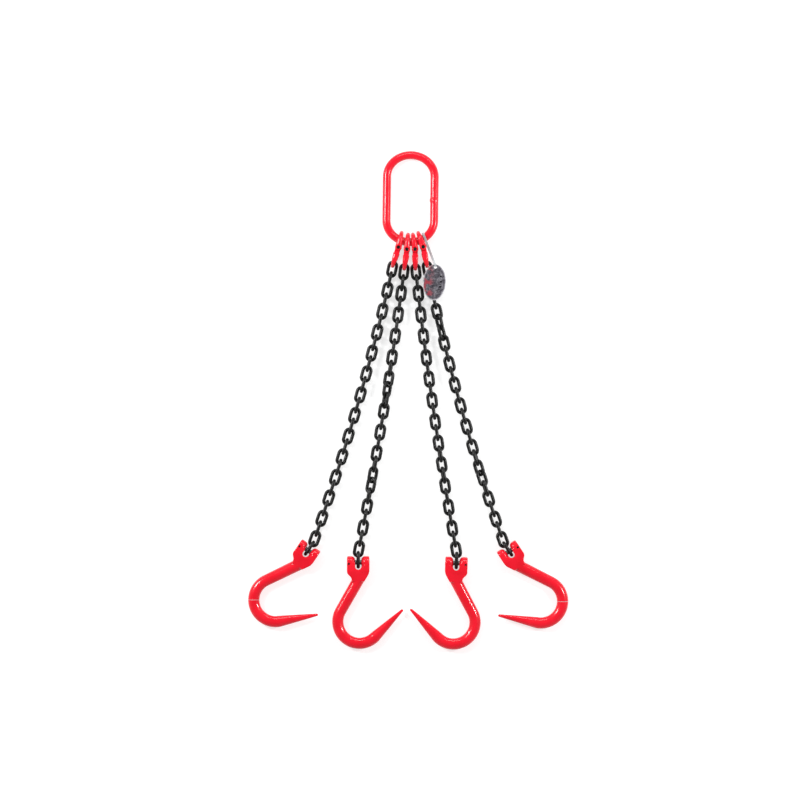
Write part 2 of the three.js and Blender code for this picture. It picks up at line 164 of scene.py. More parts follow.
def leg_point(leg, s):
    """A point on a leg's centreline, which bends evenly and comes down to the bed."""
    top = coupler_pin(leg) + COUPLER_BEARING * down(leg["lower"])
    now = leg_heading(leg, s)
    radius = LINKS_PER_LEG * LINK["pitch"] / math.radians(leg["end"] - leg["start"])
    return Vector((
        top.x + radius * (cos(leg["start"]) - cos(now)),
        top.y - radius * (sin(now) - sin(leg["start"])),
        BED + (LIFT - BED) * max(0.0, 1 - s / SETTLE) ** 2,
    ))


def sling_origin():
    """Where the sling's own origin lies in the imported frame, from the first coupler's load pin."""
    low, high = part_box("coupler_1_load_pin")
    middle = (Vector(low) + Vector(high)) / 2 / MM
    pin = coupler_pin(LEGS[0])
    return Vector((middle.x - pin.x, middle.y - pin.y, 0))


ORIGIN = sling_origin()


def placed(position, heading):
    """A frame at a place in the sling, with y back up the leg."""
    return Matrix.Translation(position) @ Matrix.Rotation(math.radians(heading), 4, "Z")


def link_frame(centre, heading, slope, roll):
    """A frame with its y up the leg, rolled about it."""
    up = Vector((-sin(heading), cos(heading), -slope)).normalized()
    across = Vector((cos(heading), sin(heading), 0))
    frame_of_link = Matrix((across, up, across.cross(up))).transposed().to_4x4()
    frame_of_link.translation = centre
    return frame_of_link @ Matrix.Rotation(math.radians(roll), 4, "Y")


def last_link(leg):
    """The centre of the last link, which swings from the bearing of the one above."""
    bearing = 3.1
    top = leg_point(leg, (LINKS_PER_LEG - 1) * LINK["pitch"] - bearing)
    return top + (LINK["pitch"] / 2 + bearing) * down(leg["hook"])


def link_place(leg, number):
    """The frame of a link, with every other one turned on edge."""
    if number == LINKS_PER_LEG:
        return link_frame(last_link(leg), leg["hook"], 0, 90)
    s = (number - 0.5) * LINK["pitch"]
    slope = (leg_point(leg, s + 1).z - leg_point(leg, s - 1).z) / 2
    twist = sum(angle * smoothstep(number, first, last) for first, last, angle in leg["turns"])
    return link_frame(leg_point(leg, s), leg_heading(leg, s), slope, twist + (0 if number % 2 else 90))


# Meshes. A shape is (vertices in millimetres, faces).
def joined(shapes):
    """Several shapes as one."""
    vertices, faces = [], []
    for points, polygons in shapes:
        start = len(vertices)
        vertices += points
        faces += [[start + i for i in polygon] for polygon in polygons]
    return vertices, faces


def moved(shape, matrix):
    return [matrix @ Vector(v) for v in shape[0]], shape[1]


def mesh_of(name, shape):
    """A closed mesh in metres, its faces pointing out."""
    mesh = bpy.data.meshes.new(name)
    mesh.from_pydata([Vector(v) * MM for v in shape[0]], [], shape[1])
    work = bmesh.new()
    work.from_mesh(mesh)
    bmesh.ops.recalc_face_normals(work, faces=work.faces)
    work.to_mesh(mesh)
    work.free()
    return mesh


def rings(loops, closed=False):
    """Skin over a list of loops of equal length, end to end or round to the first."""
    count = len(loops[0])
    vertices = [v for loop in loops for v in loop]
    faces = []
    spans = len(loops) if closed else len(loops) - 1
    for i in range(spans):
        j = (i + 1) % len(loops)
        for k in range(count):
            n = (k + 1) % count
            faces.append([i * count + k, i * count + n, j * count + n, j * count + k])
    if not closed:
        faces.append(list(range(count))[::-1])
        faces.append([(len(loops) - 1) * count + k for k in range(count)])
    return vertices, faces


def sweep(path, radii, sides, flat=1.0, closed=False):
    """A bar of round or oval section along a path in the z = 0 plane."""
    loops = []
    count = len(path)
    for i, point in enumerate(path):
        before = path[(i - 1) % count] if closed or i else point
        after = path[(i + 1) % count] if closed or i < count - 1 else point
        way = (after - before).normalized()
        side = Vector((way.y, -way.x, 0))
        radius = radii[i]
        ring = []
        for k in range(sides):
            angle = 360 * k / sides
            ring.append(point + side * radius * cos(angle) + Vector((0, 0, radius * flat * sin(angle))))
        loops.append(ring)
    return rings(loops, closed)


def rod(radius, length, axis, sides=24, at=(0, 0, 0), chamfer=0.0):
    """A round rod along x, y or z, its ends chamfered if that is asked for."""
    half = length / 2
    profile = [(radius, -half), (radius, half)]
    if chamfer:
        profile = [(radius, -half + chamfer), (radius, half - chamfer)]
        profile = [(radius - chamfer, -half), *profile, (radius - chamfer, half)]
    return turned(profile, axis, sides, at)


def turned(profile, axis, sides=24, at=(0, 0, 0), closed=False):
    """A profile of (radius, place along the axis) turned about an axis."""
    loops = []
    for radius, along in profile:
        ring = []
        for k in range(sides):
            a, b = radius * cos(360 * k / sides), radius * sin(360 * k / sides)
            point = {"x": (along, a, b), "y": (a, along, b), "z": (a, b, along)}[axis]
            ring.append(Vector(point) + Vector(at))
        loops.append(ring)
    return rings(loops, closed)


def prism(outline, depth):
    """An outline in the z = 0 plane given thickness either way."""
    return rings([[Vector((x, y, z)) for x, y in outline] for z in (-depth / 2, depth / 2)])


def arc(x, y, radius_x, radius_y, start, end, count):
    """Points round an ellipse, from one angle to another."""
    angles = [start + (end - start) * i / count for i in range(count + 1)]
    return [(x + radius_x * cos(a), y + radius_y * sin(a)) for a in angles]


def evaluated(ob, name):
    """A new mesh of an object with its modifiers applied."""
    depsgraph = bpy.context.evaluated_depsgraph_get()
    mesh = bpy.data.meshes.new_from_object(ob.evaluated_get(depsgraph))
    mesh.name = name
    return mesh


def scratch(shape):
    """A plain object to work on."""
    ob = bpy.data.objects.new("scratch", mesh_of("scratch", shape))
    bpy.context.scene.collection.objects.link(ob)
    return ob


def drilled(ob, tools):
    """Each tool's shape cut out of an object."""
    for tool in tools:
        drill = ob.modifiers.new("drill", "BOOLEAN")
        drill.operation = "DIFFERENCE"
        drill.object = tool


def forged(name, shapes, voxel, passes, cuts=(), trims=()):
    """Shapes run together as one forging: the last is trimmed, all get soft edges, then it is drilled."""
    block, *others = [scratch(shape) for shape in shapes[::-1]]
    trimmers = [scratch(trim) for trim in trims]
    drilled(block, trimmers)
    trimmed = bpy.data.objects.new("trimmed", evaluated(block, "trimmed"))
    bpy.context.scene.collection.objects.link(trimmed)
    blank = together([trimmed, *others])
    remesh = blank.modifiers.new("skin", "REMESH")
    remesh.mode = "VOXEL"
    remesh.voxel_size = voxel * MM
    smooth = blank.modifiers.new("soften", "SMOOTH")
    smooth.factor = 0.5
    smooth.iterations = passes
    tools = [scratch(cut) for cut in cuts]
    drilled(blank, tools)
    mesh = evaluated(blank, name)
    for spare in [block, *trimmers, *tools, *others, trimmed, blank]:
        bpy.data.objects.remove(spare)
    return mesh


def together(objects):
    """One object holding the meshes of several."""
    work = bmesh.new()
    for ob in objects:
        work.from_mesh(ob.data)
    mesh = bpy.data.meshes.new("together")
    work.to_mesh(mesh)
    work.free()
    ob = bpy.data.objects.new("together", mesh)
    bpy.context.scene.collection.objects.link(ob)
    return ob


def piece(name, mesh, body, slot, material, *nodes, matrix=UNMOVED):
    """A finished piece of the sling, riding on its body in place of its CAD nodes."""
    own = mesh.copy()
    own.name = name
    own.transform(Matrix.Translation(ORIGIN * MM) @ in_metres(matrix))
    own.materials.clear()
    own.materials.append(material)
    own.shade_smooth()
    own.set_sharp_from_angle(angle=math.radians(SHARP))
    ob = bpy.data.objects.new(name, own)
    bpy.context.scene.collection.objects.link(ob)
    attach(ob, body)
    if nodes:
        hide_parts(*nodes)


def in_metres(matrix):
    """The same matrix with its place in metres."""
    out = matrix.copy()
    out.translation = matrix.translation * MM
    return out


# Materials
def nodes_of(name):
    material = bpy.data.materials.new(name)
    material.use_nodes = True
    tree = material.node_tree
    shader = tree.nodes["Principled BSDF"]
    return material, tree, shader


def noise_node(tree, scale, detail=4.0, rough=0.55):
    place = tree.nodes.new("ShaderNodeTexCoord")
    noise = tree.nodes.new("ShaderNodeTexNoise")
    noise.inputs["Scale"].default_value = scale
    noise.inputs["Detail"].default_value = detail
    noise.inputs["Roughness"].default_value = rough
    tree.links.new(place.outputs["Object"], noise.inputs["Vector"])
    return noise


def ramp_node(tree, source, stops):
    """A colour ramp over a value; stops are (place, colour)."""
    ramp = tree.nodes.new("ShaderNodeValToRGB")
    ramp.color_ramp.elements[0].position, ramp.color_ramp.elements[0].color = stops[0]
    ramp.color_ramp.elements[1].position, ramp.color_ramp.elements[1].color = stops[-1]
    for place, colour in stops[1:-1]:
        ramp.color_ramp.elements.new(place).color = colour
    tree.links.new(source, ramp.inputs["Fac"])
    return ramp.outputs["Color"]


def range_node(tree, source, low, high, to_low, to_high):
    scale = tree.nodes.new("ShaderNodeMapRange")
    for socket, value in zip(("From Min", "From Max", "To Min", "To Max"), (low, high, to_low, to_high)):
        scale.inputs[socket].default_value = value
    tree.links.new(source, scale.inputs["Value"])
    return scale.outputs["Result"]


def bump(tree, shader, sources, distance):
    """Bumps laid on one another: each source is (height, strength)."""
    before = None
    for height, strength in sources:
        node = tree.nodes.new("ShaderNodeBump")
        node.inputs["Strength"].default_value = strength
        node.inputs["Distance"].default_value = distance
        tree.links.new(height, node.inputs["Height"])
        if before:
            tree.links.new(before, node.inputs["Normal"])
        before = node.outputs["Normal"]
    tree.links.new(before, shader.inputs["Normal"])


def gray(value):
    return (value, value, value, 1)


def red_coat():
    """Powder coat: deep gloss red with orange peel, a little uneven, and thin worn specks."""
    material, tree, shader = nodes_of("red_coat")
    cloud = noise_node(tree, 28, 3)
    specks = noise_node(tree, 420, 6, 0.7)
    peel = noise_node(tree, 900, 2)
    reds = [(0.3, (0.70, 0.004, 0.016, 1)), (0.7, (0.84, 0.007, 0.024, 1))]
    tint = ramp_node(tree, cloud.outputs["Fac"], reds)
    worn = ramp_node(tree, specks.outputs["Fac"], [(0.30, (0.16, 0.004, 0.006, 1)), (0.37, gray(1))])
    mix = tree.nodes.new("ShaderNodeMix")
    mix.data_type = "RGBA"
    mix.blend_type = "MULTIPLY"
    mix.inputs["Factor"].default_value = 0.6
    tree.links.new(tint, mix.inputs["A"])
    tree.links.new(worn, mix.inputs["B"])
    tree.links.new(mix.outputs["Result"], shader.inputs["Base Color"])
    tree.links.new(range_node(tree, cloud.outputs["Fac"], 0.3, 0.7, 0.14, 0.24), shader.inputs["Roughness"])
    shader.inputs["IOR"].default_value = 1.42
    shader.inputs["Coat Weight"].default_value = 0.15
    shader.inputs["Coat Roughness"].default_value = 0.08
    dimples = noise_node(tree, 330, 2)
    heights = [(peel.outputs["Fac"], 0.1), (dimples.outputs["Fac"], 0.3), (cloud.outputs["Fac"], 0.25)]
    bump(tree, shader, heights, 0.0004)
    return material


def black_chain():
    """Black finished alloy chain: satin, with scale marks and a trace of bare metal."""
    material, tree, shader = nodes_of("chain_black")
    cloud = noise_node(tree, 60, 5)
    grain = noise_node(tree, 700, 4, 0.7)
    stops = [(0.32, gray(0.002)), (0.55, gray(0.005)), (0.75, (0.013, 0.0125, 0.0135, 1))]
    tint = ramp_node(tree, cloud.outputs["Fac"], stops)
    tree.links.new(tint, shader.inputs["Base Color"])
    tree.links.new(range_node(tree, grain.outputs["Fac"], 0.3, 0.7, 0.26, 0.42), shader.inputs["Roughness"])
    shader.inputs["IOR"].default_value = 1.38
    bump(tree, shader, [(grain.outputs["Fac"], 0.35), (cloud.outputs["Fac"], 0.3)], 0.0003)
    return material


def bare_steel(name, dark, light):
    """Machined pins, dulled and a little oily."""
    material, tree, shader = nodes_of(name)
    cloud = noise_node(tree, 160, 4)
    scratches = noise_node(tree, 1400, 3, 0.8)
    tint = ramp_node(tree, cloud.outputs["Fac"], [(0.3, gray(dark)), (0.7, gray(light))])
    tree.links.new(tint, shader.inputs["Base Color"])
    roughness = range_node(tree, scratches.outputs["Fac"], 0.3, 0.7, 0.25, 0.5)
    tree.links.new(roughness, shader.inputs["Roughness"])
    shader.inputs["Metallic"].default_value = 0.9
    bump(tree, shader, [(scratches.outputs["Fac"], 0.3)], 0.0002)
    return material


def tag_alloy(name, tones, red_reflection):
    """Stamped alloy: satin, clouded, scratched along its length, with a painted reflection of the red parts
    laid on the side towards them.
    """
    material, tree, shader = nodes_of(name)
    place = tree.nodes.new("ShaderNodeTexCoord")
    stretch = tree.nodes.new("ShaderNodeMapping")
    stretch.inputs["Scale"].default_value = (900, 60, 900)
    scratches = tree.nodes.new("ShaderNodeTexNoise")
    scratches.inputs["Scale"].default_value = 1.0
    scratches.inputs["Detail"].default_value = 5.0
    tree.links.new(place.outputs["Object"], stretch.inputs["Vector"])
    tree.links.new(stretch.outputs["Vector"], scratches.inputs["Vector"])
    cloud = noise_node(tree, 190, 7, 0.7)
    dark, middle, light_tone = [(r, g, b, 1) for r, g, b in tones]
    tint = ramp_node(tree, cloud.outputs["Fac"], [(0.34, dark), (0.5, middle), (0.66, light_tone)])
    # Painted reflection: red laid by noise on the tag's side next to the red parts, fading out towards the
    # edge
    red_reflection_noise = noise_node(tree, 95, 4, 0.6)
    across = tree.nodes.new("ShaderNodeSeparateXYZ")
    tree.links.new(place.outputs["Object"], across.inputs["Vector"])
    near = range_node(tree, across.outputs["X"], RED_REFLECTION_EDGE - RED_REFLECTION_FADE, RED_REFLECTION_EDGE, 1.0, 0.0)
    red_reflection_mask = tree.nodes.new("ShaderNodeMath")
    red_reflection_mask.operation = "MULTIPLY"
    tree.links.new(range_node(tree, red_reflection_noise.outputs["Fac"], 0.48, 0.58, 0.0, red_reflection), red_reflection_mask.inputs[0])
    tree.links.new(near, red_reflection_mask.inputs[1])
    where = red_reflection_mask.outputs["Value"]
    mix = tree.nodes.new("ShaderNodeMix")
    mix.data_type = "RGBA"
    tree.links.new(where, mix.inputs["Factor"])
    tree.links.new(tint, mix.inputs["A"])
    mix.inputs["B"].default_value = (0.62, 0.03, 0.06, 1)
    tree.links.new(mix.outputs["Result"], shader.inputs["Base Color"])
    roughness = range_node(tree, scratches.outputs["Fac"], 0.3, 0.7, 0.26, 0.5)
    tree.links.new(roughness, shader.inputs["Roughness"])
    shader.inputs["Metallic"].default_value = 0.8
    bump(tree, shader, [(scratches.outputs["Fac"], 0.25), (cloud.outputs["Fac"], 0.35)], 0.0003)
    return material


def pale_finish():
    """Pale grey of the tag's band and of the line round a hook, with a fine ribbed grain."""
    material, tree, shader = nodes_of("band_gray")
    cloud = noise_node(tree, 120, 4)
    weave = tree.nodes.new("ShaderNodeTexWave")
    weave.inputs["Scale"].default_value = 700
    weave.inputs["Distortion"].default_value = 1.5
    place = tree.nodes.new("ShaderNodeTexCoord")
    tree.links.new(place.outputs["Object"], weave.inputs["Vector"])
    grays = [(0.3, (0.36, 0.39, 0.41, 1)), (0.7, (0.58, 0.62, 0.64, 1))]
    tint = ramp_node(tree, cloud.outputs["Fac"], grays)
    tree.links.new(tint, shader.inputs["Base Color"])
    shader.inputs["Roughness"].default_value = 0.5
    bump(tree, shader, [(weave.outputs["Fac"], 0.3)], 0.0003)
    return material


def floor_finish():
    """Matt white that glows a little, like a light table."""
    material, tree, shader = nodes_of("floor")
    cloud = noise_node(tree, 3, 2)
    tint = ramp_node(tree, cloud.outputs["Fac"], [(0.2, gray(0.44)), (0.8, gray(0.48))])
    tree.links.new(tint, shader.inputs["Base Color"])
    shader.inputs["Roughness"].default_value = 0.9
    shader.inputs["Emission Color"].default_value = gray(1)
    shader.inputs["Emission Strength"].default_value = 0.66
    return material


RED = red_coat()
CHAIN = black_chain()
PALE = pale_finish()
STEEL = bare_steel("pin_steel", 0.10, 0.24)
DARK = bare_steel("pin_dark", 0.015, 0.05)
# The tag carries a painted red reflection of the red parts up to here, on the side where it lies on the
# sling
RED_REFLECTION_EDGE = (ORIGIN.x + TAG["x"] + 1) * MM
RED_REFLECTION_FADE = 12 * MM
# Lit and shaded copies of one alloy: the rim's copy is lighter, a painted highlight, and the face's copy is
# darker, painted shade. The last number sets the strength of the painted red reflection.
LIT_RIM_ALLOY = tag_alloy("tag_alloy", [(0.50, 0.49, 0.54), (0.72, 0.71, 0.76), (0.88, 0.87, 0.90)], 0.35)
SHADED_FACE_ALLOY = tag_alloy("tag_face", [(0.05, 0.045, 0.06), (0.19, 0.18, 0.21), (0.52, 0.50, 0.56)], 0.8)
# Near black copy of the alloy: painted shade for the stamped marks
STAMP_SHADE_ALLOY = tag_alloy("tag_stamp", [(0.008, 0.008, 0.010), (0.014, 0.014, 0.017), (0.04, 0.04, 0.05)], 0.0)


# Rings: the master link and the chain
def ring_path(half_width, half_length, bow, count):
    """A link's centreline by even steps, starting at the middle of its right side."""
    top = arc(0, half_length - bow, half_width, bow, 0, 180, 96)
    foot = arc(0, bow - half_length, half_width, bow, 180, 360, 96)
    corners = [Vector((x, y, 0)) for x, y in top + foot]
    corners.append(corners[0])
    lengths = [0.0]
    for a, b in zip(corners, corners[1:]):
        lengths.append(lengths[-1] + (b - a).length)
    points = []
    at = 0
    for i in range(count):
        target = (lengths[-1] * i / count - (half_length - bow)) % lengths[-1]
        at = max(k for k in range(len(lengths) - 1) if lengths[k] <= target)
        span = lengths[at + 1] - lengths[at]
        points.append(corners[at].lerp(corners[at + 1], (target - lengths[at]) / span if span else 0))
    return points


def welded(path, radius, swell, spread, place):
    """Radii round a ring, swollen at its weld."""
    return [radius * (1 + swell * math.exp(-(((p - place).length / spread) ** 2))) for p in path]


def master_link():
    """The lifting ring, its foot held up by the couplers, with the trace of a weld on one side."""
    path = ring_path(MASTER_HALF_WIDTH, MASTER_HALF_LENGTH, MASTER["bow"], 320)
    weld = Vector((MASTER_HALF_WIDTH, -3, 0))
    spread = 3.0
    swell = 0.08
    dent = Vector((-0.6, 0, 0))
    path = [p + dent * math.exp(-(((p - weld).length / spread) ** 2)) for p in path]
    radii = welded(path, MASTER["bar"] / 2, swell, spread, weld)
    mesh = mesh_of("ring_master", sweep(path, radii, 36, closed=True))
    tilt = math.asin((BAR_HEIGHT - MASTER["bar"] / 2) / (MASTER["length"] + MASTER["bar"]))
    turn = Matrix.Rotation(math.radians(MASTER["lean"]), 4, "Z") @ Matrix.Rotation(-tilt, 4, "X")
    place = Matrix.Translation((0, 0, BAR_HEIGHT)) @ turn @ Matrix.Translation((0, MASTER_HALF_LENGTH, 0))
    piece("ring_master", mesh, "master_link", "red_coat", RED, "master_link", matrix=place)


def chain():
    """The legs' links, in runs that ride on one body each."""
    half_width = (LINK["width"] - LINK["wire"]) / 2 - 0.1
    half_length = (LINK["pitch"] + LINK["wire"]) / 2 + 0.15
    path = ring_path(half_width, half_length, half_width, 56)
    swell, spread = 0.04, 1.8
    radii = welded(path, LINK["wire"] / 2 - 0.08, swell, spread, Vector((half_width, 0, 0)))
    link = sweep(path, radii, 16, closed=True)
    narrowed = moved(link, Matrix.Diagonal((NARROWING, 1, 1, 1)))
    run_ends = [first - 1 for first in RUN_STARTS[1:]] + [LINKS_PER_LEG]
    for index, leg in enumerate(LEGS):
        for run, (first, last) in enumerate(zip(RUN_STARTS, run_ends)):
            numbers = range(first, last + 1)
            shape = joined([moved(narrowed if n == 1 else link, link_place(leg, n)) for n in numbers])
            body = f"chain_{index + 1}_run_{run + 1}"
            name = f"links_{index + 1}_{run + 1}"
            piece(name, mesh_of(name, shape), body, "chain_black", CHAIN, body)


# Couplers, each half in a frame with x its thickness, y along the leg and z across
def edgewise(shape):
    """Turns a drawing on edge, from x across to z across, with its thickness along x."""
    turn = Matrix(((0, 0, 1, 0), (0, 1, 0, 0), (1, 0, 0, 0), (0, 0, 0, 1)))
    return moved(shape, turn)


def oval_bar(path, wire, thicks, sides=20):
    """A bar along a path whose thickness across the drawing changes."""
    vertices, faces = sweep(path, [wire / 2] * len(path), sides)
    for i, thick in enumerate(thicks):
        for k in range(sides):
            vertices[i * sides + k].z *= thick / wire
    return vertices, faces


def lug(radius, length, middle):
    """A round lug about the load pin, its edges chamfered."""
    half = length / 2
    profile = [(0.01, -half), (radius - 1.5, -half), (radius, -half + 1.1)]
    profile += [(radius, half - 1.1), (radius - 1.5, half), (0.01, half)]
    return turned(profile, "x", 40, (middle, 0, 0))


def coupler_upper():
    """The half on the master link: a bow that thickens to its two lugs, countersunk for the pin."""
    spring = 14.0  # where the arms begin to close in
    clear = 0.4  # lifts the crown off the master link's bar
    thinning, thinned_by = 0.40, 28
    middle = COUPLER["half_width"] - COUPLER["wire"] / 2
    crown = arc(0, spring, middle, COUPLER["crown"] + clear - spring - COUPLER["wire"] / 2, 0, 180, 40)
    path = [Vector((x, y, 0)) for x, y in [(middle, 0), *crown, (-middle, 0)]]
    thicks = [BOSS * (1 - thinning * min(1.0, p.y / thinned_by)) for p in path]
    lug_middle = COUPLER["half_width"] - COUPLER["lug"] / 2
    lugs = [lug(BOSS / 2 - 0.2, COUPLER["lug"] + SKIN, side * lug_middle) for side in (1, -1)]
    shapes = [edgewise(shape) for shape in [oval_bar(path, COUPLER["wire"] + SKIN, thicks), *lugs]]
    sink = 2.2
    top = COUPLER["half_width"] + 1
    cone = [(AXIS, top - sink), (COUPLER["hole"], top - sink), (COUPLER["hole"] + sink, top), (AXIS, top)]
    sinks = [turned([(radius, side * z) for radius, z in cone], "z", 32) for side in (1, -1)]
    return forged("coupler_upper", shapes, 0.45, 4, [rod(COUPLER["hole"], THROUGH, "z", 32), *sinks])


def coupler_lower():
    """The half in the chain: a bow that thins to its foot, with a knuckle and a lug each side."""
    far = COUPLER["half_width"] - COUPLER["lug"] - 0.6
    near = far - COUPLER["lug"]
    shoulder = -(BOSS / 2 + 1.2)
    middle = COUPLER["half_width"] - LOWER_WIRE / 2
    spring = 22
    fall = COUPLER["tip"] - spring - 3.3
    bow = []
    for angle in range(0, -181, -5):
        across = math.copysign(middle * abs(cos(angle)) ** 0.75, cos(angle))
        bow.append(Vector((across, fall * sin(angle) - spring, 0)))
    path = [Vector((middle, shoulder - 4, 0)), *bow, Vector((-middle, shoulder - 4, 0))]
    thicks = [LOWER * (1 - 0.45 * smoothstep(-p.y, 14, COUPLER["tip"])) for p in path]
    shapes = [oval_bar(path, LOWER_WIRE, thicks)]
    lug_radius = (COUPLER["thick"] - 0.6) / 2
    lug_middle = (near + far) / 2
    shapes += [rod(lug_radius, COUPLER["lug"], "x", 40, (side * lug_middle, 0, 0)) for side in (1, -1)]
    outline = [(far, 0), (far, shoulder), (21.6, shoulder), (21.8, -14)]
    outline += [(14.4, -20), (near + 1.2, -11), (near, 0)]
    for side in (1, -1):
        shapes.append(prism([(side * x, y) for x, y in outline], COUPLER["thick"] - 0.8))
    shapes = [edgewise(shape) for shape in shapes]
    return forged("coupler_lower", shapes, 0.45, 4, [rod(COUPLER["hole"], THROUGH, "z", 32)])


def couplers():
    upper, lower = coupler_upper(), coupler_lower()
    pin_length = 2 * COUPLER["half_width"] - 3
    pin = mesh_of("coupler_pin", rod(COUPLER["hole"] - 0.3, pin_length, "z", 32, chamfer=0.6))
    bore, half = COUPLER["hole"], COUPLER["half_width"] - 2 * COUPLER["lug"] - 0.6
    barrel = [(bore, -half), (4.6, -half), (4.9, -half + 0.6), (5.2, 0)]
    barrel += [(4.9, half - 0.6), (4.6, half), (bore, half)]
    sleeve = mesh_of("coupler_sleeve", turned(barrel, "z", 32, closed=True))
    for index, leg in enumerate(LEGS):
        body = f"coupler_{index + 1}"
        up = placed(coupler_pin(leg), leg["upper"])
        low = placed(coupler_pin(leg), leg["lower"])
        parts = [
            ("upper_bow", upper, "upper", up, "red_coat", RED, "upper_half"),
            ("lower_bow", lower, "lower", low, "red_coat", RED, "lower_half"),
            ("cross_pin", pin, "upper", up, "pin_steel", DARK, "load_pin"),
            ("bush", sleeve, "upper", up, "pin_steel", STEEL, "sleeve"),
        ]
        for part, mesh, ride, place, slot, finish, node in parts:
            piece(f"{body}_{part}", mesh, f"{body}_{ride}", slot, finish, f"{body}_{node}", matrix=place)


# Hooks, in a frame with the load pin at the origin along x and y up the leg
def hook_bar():
    """The shank, bowl and point as one smooth bar: (path, radii)."""
    neck, tip = Vector((4.0, -27.0, 0)), Vector((84.9, -93.8, 0))
    shank_steps, point_steps = 12, 24
    half = HOOK["bar"] / 2 + SKIN
    tip_radius = 2.3 + SKIN
    radius = HOOK["throat"] + HOOK["bar"] / 2
    bowl = [BOWL + radius * Vector((cos(a), sin(a), 0)) for a in range(153, 316, 3)]
    shank = [neck.lerp(bowl[0], t / shank_steps) for t in range(shank_steps)]
    shank_radii = [half + 0.5 * (1 - t / shank_steps) for t in range(shank_steps)]
    point = [bowl[-1].lerp(tip, t / point_steps) for t in range(1, point_steps + 1)]
    point_radii = [half + (tip_radius - half) * t / point_steps for t in range(1, point_steps + 1)]
    way = (tip - bowl[-1]).normalized()
    end = [tip + way * tip_radius * sin(a) for a in (30, 60, 84)]
    end_radii = [tip_radius * cos(a) for a in (30, 60, 84)]
    return shank + bowl + point + end, shank_radii + [half] * len(bowl) + point_radii + end_radii


def curve(start, control, end, count):
    """Points along a bend from start to end, drawn towards control, without the start."""
    points = []
    for i in range(1, count + 1):
        t = i / count
        shares = ((1 - t) ** 2, 2 * t * (1 - t), t * t)
        points.append(tuple(sum(map(operator.mul, shares, values)) for values in zip(start, control, end)))
    return points


def clevis_outline():
    """The clevis below its load pin, with the foot of its slot."""
    slot, out = CLEVIS_SLOT, HOOK["ear_out"] + SKIN
    foot = -8.3
    outer = [(-out, 0), (-out, -17.5), *curve((-out, -17.5), (-out, -22), (-17, -26), 6)]
    outer += [*curve((-17, -26), (-13, -29.5), (-13.2, -33), 5), (-12.0, -37)]
    inner = [(12.0, -37), (18.9, -25.3), *curve((18.9, -25.3), (out, -20), (out, -13), 6), (out, 0)]
    return outer + inner + arc(0, foot, slot, slot, 0, -180, 16)[:-1] + [(-slot, foot), (-slot, 0)]


def clevis_ear(side):
    """An ear turned about the load pin, flared inside to clear the link above."""
    slot, out, ear = CLEVIS_SLOT, HOOK["ear_out"] + SKIN, HOOK["ear"] + SKIN
    edge = 2.4
    inside = [(AXIS, slot), (4.5, slot), *curve((4.5, slot), (11.0, slot + 0.4), (ear, 12.6), 8)]
    outside = [(ear, out - edge), *curve((ear, out - edge), (ear, out), (ear - edge, out), 4), (AXIS, out)]
    return turned([(radius, side * along) for radius, along in inside + outside], "x", 48)


def hook_mesh(opens):
    """The forging: a clevis thinned towards its neck and run into the bar, then drilled."""
    mirror = Matrix.Diagonal((opens, 1, 1, 1))
    path, radii = hook_bar()
    ear = HOOK["ear"] + SKIN
    neck = HOOK["flat"] * radii[0]
    clear = ear + 4
    bevel = [(ear, -16), (neck, -36), (neck, -50), (clear, -50), (clear, -16)]
    bar = sweep(path, radii, 28, HOOK["flat"])
    shapes = [bar, clevis_ear(1), clevis_ear(-1), prism(clevis_outline(), 2 * ear)]
    trims = [edgewise(prism([(side * z, y) for z, y in bevel], THROUGH)) for side in (1, -1)]
    retainer = (RETAINER["x"], RETAINER["y"], 0)
    play = 0.3
    cuts = [rod(HOOK["pin"] + play, THROUGH, "x", 32)]
    cuts.append(rod(RETAINER["radius"] + play, THROUGH, "z", 20, retainer))
    mirrored = [[moved(shape, mirror) for shape in group] for group in (shapes, cuts, trims)]
    return forged(f"hook_{opens}", mirrored[0], 0.8, 6, *mirrored[1:])


def seam(opens):
    """The fine pale line round the bar, at the middle of the bend."""
    angle = 214
    fine = 0.6
    reach = HOOK["throat"] + HOOK["bar"] / 2
    half = HOOK["bar"] / 2 - 0.1
    out = Vector((cos(angle), sin(angle), 0))
    along = Vector((-out.y, out.x, 0))
    loops = []
    for turn in range(0, 360, 10):
        outward = out * cos(turn) + Vector((0, 0, sin(turn) * HOOK["flat"]))
        middle = BOWL + out * reach + outward * half
        loops.append([middle + (along * cos(a) + outward * sin(a)) * fine for a in range(0, 360, 60)])
    return moved(rings(loops, closed=True), Matrix.Diagonal((opens, 1, 1, 1)))


def hooks():
    bodies = {opens: hook_mesh(opens) for opens in (1, -1)}
    pin = mesh_of("hook_pin", rod(HOOK["pin"], 2 * HOOK["ear_out"] - 1.4, "x", 32, chamfer=0.8))
    retainers = {}
    for opens in (1, -1):
        at = (RETAINER["x"] * opens, RETAINER["y"], 0)
        retainers[opens] = mesh_of("hook_retainer", rod(RETAINER["radius"], 22.6, "z", 20, at, chamfer=0.4))
    for index, leg in enumerate(LEGS):
        name = f"hook_{index + 1}"
        place = placed(last_link(leg) + HOOK_BEARING * down(leg["hook"]), leg["hook"])
        body = bodies[leg["opens"]]
        piece(f"{name}_forging", body, name, "red_coat", RED, f"{name}_body", matrix=place)
        if index in (0, len(LEGS) - 1):
            line = mesh_of("seam", seam(leg["opens"]))
            piece(f"{name}_seam", line, name, "red_coat", PALE, matrix=place)
        piece(f"{name}_load_pin", pin, name, "pin_steel", STEEL, f"{name}_clevis_pin", matrix=place)
        retainer = retainers[leg["opens"]]
        piece(f"{name}_roll_pin", retainer, name, "pin_steel", DARK, f"{name}_retaining_pin", matrix=place)


